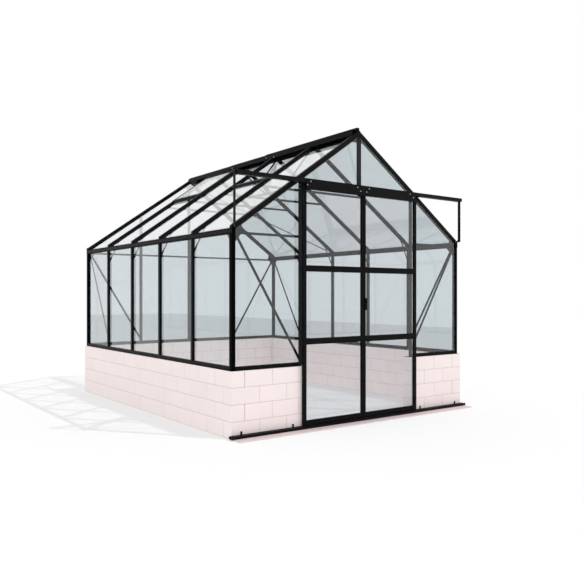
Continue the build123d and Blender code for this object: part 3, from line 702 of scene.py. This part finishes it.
def long_faces(node, outward):
    """Middle lines of a node's long flat faces that look outward: start, end, normal and width."""
    work = merged_copy(node)
    bmesh.ops.dissolve_limit(work, angle_limit=radians(1), verts=work.verts, edges=work.edges)
    work.normal_update()
    outward = Vector(outward).normalized()
    found = []
    for face in work.faces:
        if len(face.edges) != 4 or face.normal.dot(outward) < BAR_FACES:
            continue
        ends = sorted(face.edges, key=lambda e: e.calc_length())[:2]
        width = ends[0].calc_length()
        start, end = (sum((v.co for v in e.verts), Vector()) / 2 for e in ends)
        if (end - start).length > LONG_FACE * width:
            found.append((start, end, face.normal.copy(), width))
    work.free()
    return found


def join_rows(work, first, last):
    """Faces between two closed rows of corners."""
    for i in range(len(first)):
        j = (i + 1) % len(first)
        work.faces.new((first[i], first[j], last[j], last[i]))


def add_strip(work, start, end, normal, width, rise, shift=0.0):
    """Slim bar with chamfered long edges along a line on a face, moved sideways by shift."""
    side = (end - start).normalized().cross(normal)
    rows = []
    for point in (start, end):
        foot = point + side * shift - normal * STRIP_SINK
        rows.append([
            work.verts.new(foot + side * a * width + normal * b * rise) for a, b in STRIP_PROFILE
        ])
    join_rows(work, *rows)
    work.faces.new(rows[0][::-1])
    work.faces.new(rows[1])


def finish_bars(name, work, coat):
    """Makes a coated piece of the building's frame from a working mesh."""
    bmesh.ops.recalc_face_normals(work, faces=work.faces)
    piece = new_object(name)
    work.to_mesh(piece.data)
    work.free()
    piece.data.materials.append(coat)
    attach(piece, BUILDING)


def flat_panel(name, corners, height, material):
    """Level panel of the stage."""
    piece = new_object(name)
    piece.data.from_pydata([(x, y, height) for x, y in corners], [], [range(len(corners))])
    piece.data.materials.append(material)
    return piece


def lay_mortar_beds(recess, mortar):
    """Blocks a little inside the walls, which show between the bricks."""
    beds = new_object("mortar_beds")
    work = bmesh.new()
    sunk = Vector((recess,) * 3)
    for name in WALLS:
        low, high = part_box(name)
        low, high = low + sunk, high - sunk
        low.z = BED_FOOT
        for corner in bmesh.ops.create_cube(work, size=1.0)["verts"]:
            corner.co = [b if side > 0 else a for a, b, side in zip(low, high, corner.co)]
    work.to_mesh(beds.data)
    work.free()
    beds.data.materials.append(mortar)
    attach(beds, BUILDING)


# ---- operators ----------------------------------------------------------------------
class GH_OT_lay_bricks(bpy.types.Operator):
    """Lays the dwarf wall in half bond, with mortar beds and the threshold"""
    bl_idname = "greenhouse.lay_bricks"
    bl_label = "Lay bricks"

    def execute(self, context):
        want = context.scene.gh_brickwork
        low, side_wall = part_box("wall_left")
        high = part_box("wall_right")[1]
        depth = side_wall.x - low.x
        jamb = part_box("wall_front_right")[0].x
        length, width = high.y - low.y, high.x - low.x
        joint, brick = want.joint, want.brick
        clay = fired_clay("fired_clay", tuple(want.brick_colour))

        def fitted(run):
            """Brick length that fills a run with whole bricks."""
            return (run + joint) / round((run + joint) / brick)

        full, butted = 0.0, depth + joint
        side = fitted(length - depth - joint)
        back, back_butted = fitted(width), fitted(width - 2 * butted)
        side_courses = (side, butted, length), (side, full, length - butted)
        runs = [
            # corner, along, inward, then brick, start and end of even and of odd courses
            ((low.x, low.y, 0), BACK, RIGHT, *side_courses),
            ((high.x, low.y, 0), BACK, LEFT, *side_courses),
            ((low.x, high.y, 0), RIGHT, FRONT,
             (back_butted, butted, width - butted), (back, full, width)),
            ((low.x, low.y, 0), RIGHT, BACK,
             (brick, full, -jamb - low.x), (brick, butted, -jamb - low.x)),
            ((high.x, low.y, 0), LEFT, BACK,
             (brick, full, high.x - jamb), (brick, butted, high.x - jamb)),
        ]
        wall = new_object("brickwork")
        tree = brick_run_tree()
        for seed, (corner, along, inward, even, odd) in enumerate(runs):
            values = {
                "Courses": want.courses, "Course": high.z / want.courses, "Joint": joint,
                "Depth": depth, "Corner": corner, "Along": along, "Inward": inward,
                "Seed": seed, "Material": clay,
            }
            for what, even_value, odd_value in zip(("Brick", "Start", "End"), even, odd):
                values[f"{what} Even"], values[f"{what} Odd"] = even_value, odd_value
            apply_tree(wall, tree, values)
        arris = wall.modifiers.new("arris", "BEVEL")
        arris.width = want.arris
        arris.segments = 2
        settle(wall)
        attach(wall, BUILDING)
        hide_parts(*WALLS)

        lay_mortar_beds(want.recess, cement("mortar", tuple(want.mortar_colour)))
        paint(["threshold"], cement("threshold_concrete", tuple(want.strip_colour)))
        return {"FINISHED"}


class GH_OT_coat_frame(bpy.types.Operator):
    """Coats the bars, doors and tracks, and plates the rollers; some bars get lighter and darker
    copies of the coat as painted light and shade
    """
    bl_idname = "greenhouse.coat_frame"
    bl_label = "Coat frame"

    def execute(self, context):
        want = context.scene.gh_frame
        coat = tuple(want.coat)
        other = {
            "threshold", *RAFTERS, *CORNERS, *GABLE_POSTS, *WALLS, *DOOR_BARS, *ROLLERS, *TRACKS,
            *GLASS,
        }
        paint([name for name in NODES if name not in other], bar_coat("frame_coat", coat))
        # rafters in a lighter copy of the coat: painted light on them
        paint(RAFTERS, bar_coat("rafter_painted_light_coat", coat))
        # corner posts and eave end plates in a darker copy of the coat: painted shade
        paint(CORNERS, bar_coat("corner_painted_shade_coat", coat))
        # front gable posts in a lighter copy of the coat: painted light
        paint(GABLE_POSTS, bar_coat("post_painted_light_coat", coat))
        paint(DOOR_BARS, bar_coat("door_coat", coat))
        paint(TRACKS, powder_coat("track_coat", tuple(want.track_coat), roughness=0.36))
        paint(ROLLERS, bright_zinc("roller_steel", ROLLER_STEEL))
        return {"FINISHED"}


class GH_OT_glaze(bpy.types.Operator):
    """Gives each set of panes its glass"""
    bl_idname = "greenhouse.glaze"
    bl_label = "Glaze"

    def execute(self, context):
        want = context.scene.gh_glass
        paint(WALL_GLASS, float_glass("wall_glass", tuple(want.wall_tint)))
        for panes, name, tint in (
            (LEFT_ROOF_GLASS, "left_roof_glass", want.left_roof_tint),
            (RIGHT_ROOF_GLASS, "right_roof_glass", want.right_roof_tint),
        ):
            paint(panes, float_glass(name, tuple(tint), ripple_depth=0.003))
        paint(DOOR_GLASS, float_glass("door_glass", tuple(want.door_tint)))
        return {"FINISHED"}


class GH_OT_fit_caps(bpy.types.Operator):
    """Fits strips to the bars: caps on them, wings and webs at the rafters, drips at the eaves;
    their lighter and darker coats are painted highlights, light and shade
    """
    bl_idname = "greenhouse.fit_caps"
    bl_label = "Fit caps"

    def execute(self, context):
        want = context.scene.gh_frame
        coat = tuple(want.coat)
        caps, edges, wings, webs, gable_webs = (bmesh.new() for _ in range(5))
        for node, outward in CAPPED_BARS:
            for start, end, normal, width in long_faces(node, outward):
                add_strip(caps, start, end, normal, want.cap, CAP_RISE)
                if node in RAFTERS:
                    start, end = (point - normal * want.bar_above_glass for point in (start, end))
                    beside = (width + want.wing) / 2
                    for shift in (-beside, beside):
                        add_strip(wings, start, end, normal, want.wing, WING_RISE, shift)
        for node, inward in zip(RAFTERS, (-LEFT_ROOF, -RIGHT_ROOF)):
            for *line, _ in long_faces(node, inward):
                add_strip(webs, *line, WEB_WIDTH, want.web)

        # a gable web reaches from just behind the panes to the inner face of its rafters
        for gable, inner_corner, step in (
            ("front", 1, WEB_BEHIND_GLASS), ("back", 0, -WEB_BEHIND_GLASS)
        ):
            node = f"gable_rafters_{gable}"
            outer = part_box(f"glass_{gable}")[inner_corner].y + step
            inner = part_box(node)[inner_corner].y
            for inward in (-LEFT_ROOF, -RIGHT_ROOF):
                for start, end, normal, _ in long_faces(node, inward):
                    start.y = end.y = (outer + inner) / 2
                    add_strip(gable_webs, start, end, normal, abs(inner - outer), want.gable_web)
        for node, outward in (("eave_rail_left", LEFT), ("eave_rail_right", RIGHT)):
            for *line, width in long_faces(node, outward):
                for shift in (DRIP_WIDTH / 2 - width / 2, width / 2 - DRIP_WIDTH / 2):
                    add_strip(edges, *line, DRIP_WIDTH, DRIP_RISE, shift)

        # wings and gable webs in a darker copy of the coat: painted shade
        wing_painted_shade_coat = bar_coat("wing_painted_shade_coat", coat)
        # caps in a much lighter copy of the coat: painted highlights along the bars
        finish_bars("capping_strips", caps, bar_coat("cap_painted_highlight_coat", coat))
        # drip edges in a darker copy of the coat: painted shade along the rails' edges
        finish_bars("drip_edges", edges, bar_coat("edge_painted_shade_coat", coat))
        # webs in a lighter copy of the coat: painted light
        finish_bars("rafter_webs", webs, bar_coat("web_painted_light_coat", coat))
        finish_bars("glazing_wings", wings, wing_painted_shade_coat)
        finish_bars("gable_webs", gable_webs, wing_painted_shade_coat)
        return {"FINISHED"}


class GH_OT_fit_ridge_flashings(bpy.types.Operator):
    """Lays a folded flashing over the rafter heads on each side of the ridge"""
    bl_idname = "greenhouse.fit_ridge_flashings"
    bl_label = "Fit ridge flashings"

    def execute(self, context):
        want = context.scene.gh_frame
        beam_low, beam_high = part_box("ridge_beam")
        rafter_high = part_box("rafters_left")[1]
        vent_low, vent_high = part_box("shut_vent_frame")
        inner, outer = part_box("ridge_caps")[1].x + FLASHING_TO_CAPS, want.flashing
        fall = (outer + rafter_high.x) * tan(ROOF_SLOPE)
        foot = rafter_high.z - fall + LIP_OVER_RAFTERS
        top = beam_high.z + FLASHING_RISE
        fold = top - FLASHING_FALL
        start, end = beam_low.y + FLASHING_START, beam_high.y - FLASHING_END
        lengths = [
            # side, then front, back and foot of the lip
            (1, start + FLASHING_START_RIGHT, end, foot),
            (-1, start, vent_low.y, foot),
            (-1, vent_low.y, vent_high.y, foot + LIP_OVER_VENT),
            (-1, vent_high.y, end, foot),
        ]
        work = bmesh.new()
        for side, front, back, lip in lengths:
            outline = [
                (inner, top), (outer, fold), (outer, lip), (outer - FLASHING_SHEET, lip),
                (outer - FLASHING_SHEET, fold - FLASHING_SHEET), (inner, top - FLASHING_SHEET),
            ]
            rows = [[work.verts.new((side * x, y, z)) for x, z in outline] for y in (front, back)]
            join_rows(work, *rows)
            for a, b, c, d, e, f in rows:
                work.faces.new((a, b, e, f))
                work.faces.new((b, c, d, e))
        # flashings in a darker copy of the coat: painted shade
        finish_bars("ridge_flashings", work, bar_coat("flashing_painted_shade_coat", tuple(want.coat)))
        return {"FINISHED"}


class GH_OT_fit_seals(bpy.types.Operator):
    """Runs a rubber seal round every pane, outside and inside"""
    bl_idname = "greenhouse.fit_seals"
    bl_label = "Fit seals"

    def execute(self, context):
        radius = context.scene.gh_frame.seal
        tree = seal_tree()
        rubber = seal_rubber("seal_rubber")
        for body, panes in SEALED_PANES.items():
            points, edges = [], []
            for node, outward in panes:
                for side in (1, -1):
                    found, lines = rims(
                        node, Vector(outward) * side, radius * SEAL_INSET, radius * SEAL_RISE
                    )
                    edges += [(a + len(points), b + len(points)) for a, b in lines]
                    points += found
            piece = new_object(f"{body}_seals", edge_mesh(f"{body}_seals", points, edges))
            apply_tree(piece, tree, {"Radius": radius, "Material": rubber})
            settle(piece)
            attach(piece, body)
        return {"FINISHED"}


def fascia_and_post_bolts():
    """Places on the header fascia and on the door posts beside it, all facing forward."""
    fascia_low, fascia_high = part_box("header_fascia")
    posts_low, posts_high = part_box("gable_posts_front")
    top = fascia_high.z
    places = [
        ((x, fascia_low.y, top - drop), FRONT)
        for pair in FASCIA_BOLTS for x, drop in zip(pair, FASCIA_DROPS)
    ]
    return places + [
        ((x, posts_low.y, top - drop), FRONT)
        for x in (posts_low.x + POST_BOLT_IN, posts_high.x - POST_BOLT_IN) for drop in POST_DROPS
    ]


def plate_bolts():
    """Places on the plates at the ends of the eaves, facing out at the front and the back."""
    low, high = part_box("eave_end_plates")
    across = [low.x + step for step in PLATE_BOLTS_IN]
    across += [high.x - step for step in reversed(PLATE_BOLTS_IN)]
    return [
        ((x, y, high.z - PLATE_BOLT_DROP), facing)
        for y, facing in ((low.y, FRONT), (high.y, BACK)) for x in across
    ]


def ridge_bolts(reach):
    """Places on the lips of both flashings, facing sideways."""
    low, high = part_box("ridge_caps")
    return [
        ((side * reach, low.y + part * (high.y - low.y), high.z - drop), (side, 0, 0))
        for part, drop in RIDGE_BOLTS for side in (-1, 1)
    ]


class GH_OT_fit_bolts(bpy.types.Operator):
    """Bolts the header, the door posts, the eave ends and the ridge flashings"""
    bl_idname = "greenhouse.fit_bolts"
    bl_label = "Fit bolts"

    def execute(self, context):
        want = context.scene.gh_frame
        places = fascia_and_post_bolts() + plate_bolts() + ridge_bolts(want.flashing)
        mesh = bpy.data.meshes.new("frame_bolts")
        mesh.from_pydata([place for place, _ in places], [], [])
        facing = mesh.attributes.new("facing", "FLOAT_VECTOR", "POINT")
        facing.data.foreach_set("vector", [part for _, way in places for part in way])
        piece = new_object("frame_bolts", mesh)
        apply_tree(piece, bolt_tree(), {
            "Radius": want.bolt, "Height": BOLT_HEIGHT, "Washer": want.bolt * WASHER_REACH,
            "Material": bright_zinc("bolt_zinc", BOLT_ZINC),
        })
        settle(piece)
        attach(piece, BUILDING)
        return {"FINISHED"}


def set_camera(scene, want):
    """Camera that looks level along its heading."""
    lens = bpy.data.cameras.new("camera")
    lens.lens = want.lens
    lens.sensor_width = SENSOR_WIDTH
    lens.shift_y = want.rise
    lens.clip_end = FAR_CLIP
    camera = bpy.data.objects.new("camera", lens)
    camera.location = want.eye
    camera.rotation_euler = (radians(90), 0, -want.heading)
    scene.collection.objects.link(camera)
    scene.camera = camera


def lay_floors():
    """White floor all round, and one inside the walls that glows more seen through the panes."""
    floor = flat_panel(
        "floor", FLOOR_CORNERS, FLOOR_Z, pale_floor("floor_white", through=0.14, bounced=0.34)
    )
    left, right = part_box("wall_left")[1].x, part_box("wall_right")[0].x
    front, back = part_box("wall_front_left")[1].y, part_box("wall_back")[0].y
    inside = flat_panel(
        "floor_inside", ((left, front), (right, front), (right, back), (left, back)),
        INSIDE_FLOOR_Z, pale_floor("floor_inside_white", through=0.34, bounced=0.62),
    )
    return floor, inside


def set_world(scene, light):
    """Plain world that is white to look at and lights the rest with the given strength."""
    world = bpy.data.worlds.new("studio")
    scene.world = world
    world.use_nodes = True
    tree = world.node_tree
    tree.nodes.clear()
    path = add_node(tree, "ShaderNodeLightPath").outputs
    mirrored = maths(tree, "MAXIMUM", path["Is Glossy Ray"], path["Is Transmission Ray"])
    seen = maths(tree, "MAXIMUM", path["Is Camera Ray"], mirrored)
    strength = maths(tree, "MULTIPLY_ADD", seen, 1.0 - light, light)
    plain = add_node(tree, "ShaderNodeBackground", {"Color": (1, 1, 1, 1), "Strength": strength})
    add_node(tree, "ShaderNodeOutputWorld", {0: plain.outputs[0]})


class GH_OT_set_stage(bpy.types.Operator):
    """Sets the camera, the pale floor and the soft light"""
    bl_idname = "greenhouse.set_stage"
    bl_label = "Set stage"

    def execute(self, context):
        scene = context.scene
        want = scene.gh_stage
        scene.view_settings.view_transform = "Standard"
        set_camera(scene, want)
        floors = lay_floors()
        set_world(scene, want.world_light)

        sunlit = bpy.data.collections.new("sunlit_floor")
        for each in floors:
            sunlit.objects.link(each)
        for name, energy, only in (
            ("key", want.key_light, None), ("floor_sun", want.floor_sun, sunlit)
        ):
            sun = bpy.data.lights.new(name, "SUN")
            sun.energy = energy
            sun.angle = SUN_SPREAD
            lamp = bpy.data.objects.new(name, sun)
            lamp.rotation_euler = Vector(SUN_WAY).to_track_quat("-Z", "Y").to_euler()
            scene.collection.objects.link(lamp)
            if only:
                lamp.light_linking.receiver_collection = only
        return {"FINISHED"}


OPERATORS = (
    GH_OT_lay_bricks,
    GH_OT_coat_frame,
    GH_OT_fit_caps,
    GH_OT_fit_ridge_flashings,
    GH_OT_glaze,
    GH_OT_fit_seals,
    GH_OT_fit_bolts,
    GH_OT_set_stage,
)


class GH_PT_sidebar(bpy.types.Panel):
    """Lists the steps that dress the greenhouse"""
    bl_label = "Glass greenhouse"
    bl_idname = "GH_PT_sidebar"
    bl_space_type = "VIEW_3D"
    bl_region_type = "UI"
    bl_category = "Greenhouse"

    def draw(self, context):
        for operator in OPERATORS:
            self.layout.operator(operator.bl_idname)
        for name, group in SETTINGS.items():
            box = self.layout.box()
            for key in group.__annotations__:
                box.prop(getattr(context.scene, name), key)


CLASSES = (*SETTINGS.values(), *OPERATORS, GH_PT_sidebar)


def register():
    """Registers the classes and hangs the settings on the scene."""
    for each in CLASSES:
        bpy.utils.register_class(each)
    for name, group in SETTINGS.items():
        setattr(bpy.types.Scene, name, PointerProperty(type=group))


def unregister():
    """Removes what register added."""
    for name in SETTINGS:
        delattr(bpy.types.Scene, name)
    for each in reversed(CLASSES):
        bpy.utils.unregister_class(each)


def main():
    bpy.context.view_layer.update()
    register()
    for operator in OPERATORS:
        group, name = operator.bl_idname.split(".")
        getattr(getattr(bpy.ops, group), name)()


if __name__ == "__main__":
    main()
